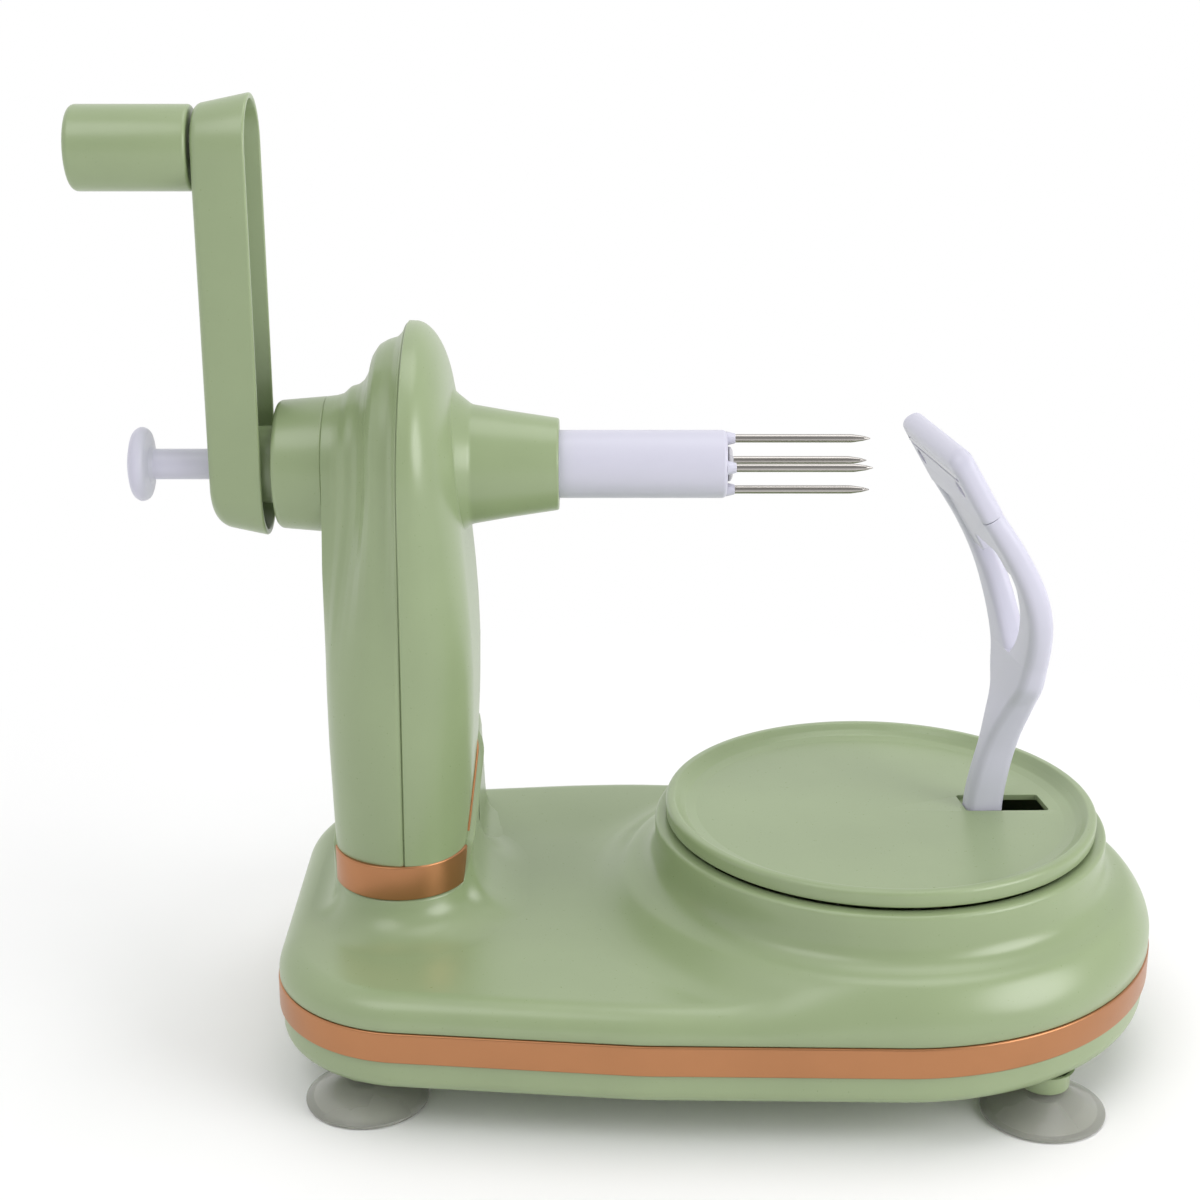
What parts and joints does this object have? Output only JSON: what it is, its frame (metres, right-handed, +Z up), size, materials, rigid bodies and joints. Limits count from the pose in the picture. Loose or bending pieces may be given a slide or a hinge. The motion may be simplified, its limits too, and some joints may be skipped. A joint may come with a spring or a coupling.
{
  "type": "hand-cranked apple peeler",
  "caption": "Hand-cranked apple peeler: a crank turns a pronged fork and, through a worm and flat gears, a turntable whose sprung arm carries the peeling blade.",
  "frame": {"origin": "on the table, under the middle of the outer box", "axes": "+X along the fork axis from the crank towards the turntable, +Z up"},
  "size_m": [0.2632, 0.1392, 0.2362],
  "materials": {
    "body": "satin sage-green moulding",
    "white": "smooth lilac-white moulding",
    "trim": "satin copper coating",
    "steel": "bright",
    "gears": "natural nylon",
    "cups": "translucent grey"
  },
  "bodies": {
    "base": {"base_bottom": "body", "base_trim": "trim", "base_shell": "body", "base_screws": "steel", "suction_cups": "cups", "turntable_post": "steel", "idler_pins": "steel", "column_band": "trim", "crank_shell": "body", "fork_shell": "body", "column_screws": "steel", "crank_bush": "gears", "fork_bush": "gears"},
    "crank": {"crank_arm": "body", "drive_shaft": "steel", "worm": "gears", "fork_tube": "white", "fork_prongs": "steel", "grip_pin": "steel"},
    "grip": {"crank_grip": "body", "grip_cap": "body"},
    "ejector": {"push_rod": "white", "ejector_tip": "white"},
    "upright": {"worm_wheel": "gears", "upright_shaft": "steel", "base_pinion": "gears"},
    "idler_one": {"first_idler": "gears"},
    "idler_two": {"second_idler": "gears"},
    "turntable": {"turntable_plate": "body", "turntable_gear": "gears", "hinge_pin": "steel", "arm_spring": "steel"},
    "arm": {"peeler_arm": "white", "blade_carrier": "white", "peeling_blade": "steel", "blade_pins": "steel"}
  },
  "joints": [
    {"name": "crank_spin", "type": "hinge", "parent": "base", "child": "crank", "pos_m": [0, 0, 0.1483], "axis": [1, 0, 0], "range_deg": [-2040, 1680]},
    {"name": "grip_spin", "type": "hinge", "parent": "crank", "child": "grip", "pos_m": [-0.1175, 0, 0.2236], "axis": [1, 0, 0], "continuous": true},
    {"name": "eject_slide", "type": "slide", "parent": "crank", "child": "ejector", "axis": [1, 0, 0], "range_m": [0, 0.0153]},
    {"name": "upright_spin", "type": "hinge", "parent": "base", "child": "upright", "pos_m": [-0.056, 0.0155, 0.09], "axis": [0, 0, 1], "range_deg": [-112.1, 136.1]},
    {"name": "first_idler_spin", "type": "hinge", "parent": "base", "child": "idler_one", "pos_m": [-0.0185, 0.0155, 0.0225], "axis": [0, 0, 1], "range_deg": [-90.8, 74.8]},
    {"name": "second_idler_spin", "type": "hinge", "parent": "base", "child": "idler_two", "pos_m": [0.02477, 0.02786, 0.0225], "axis": [0, 0, 1], "range_deg": [-74.8, 90.8]},
    {"name": "turntable_spin", "type": "hinge", "parent": "base", "child": "turntable", "pos_m": [0.062, 0, 0.0582], "axis": [0, 0, 1], "range_deg": [-85.1, 70.1]},
    {"name": "arm_swing", "type": "hinge", "parent": "turntable", "child": "arm", "pos_m": [0.08929, 0.00343, 0.036], "axis": [-0.1392, 0.9903, 0], "range_deg": [0, 22], "stiffness_Nm_per_rad": 0.3, "springref_deg": -20.05}
  ],
  "couplings": [
    {"joint": "upright_spin", "follows": "crank_spin", "ratio": -0.066667},
    {"joint": "first_idler_spin", "follows": "crank_spin", "ratio": 0.044444},
    {"joint": "second_idler_spin", "follows": "crank_spin", "ratio": -0.044444},
    {"joint": "turntable_spin", "follows": "crank_spin", "ratio": 0.041667}
  ]
}
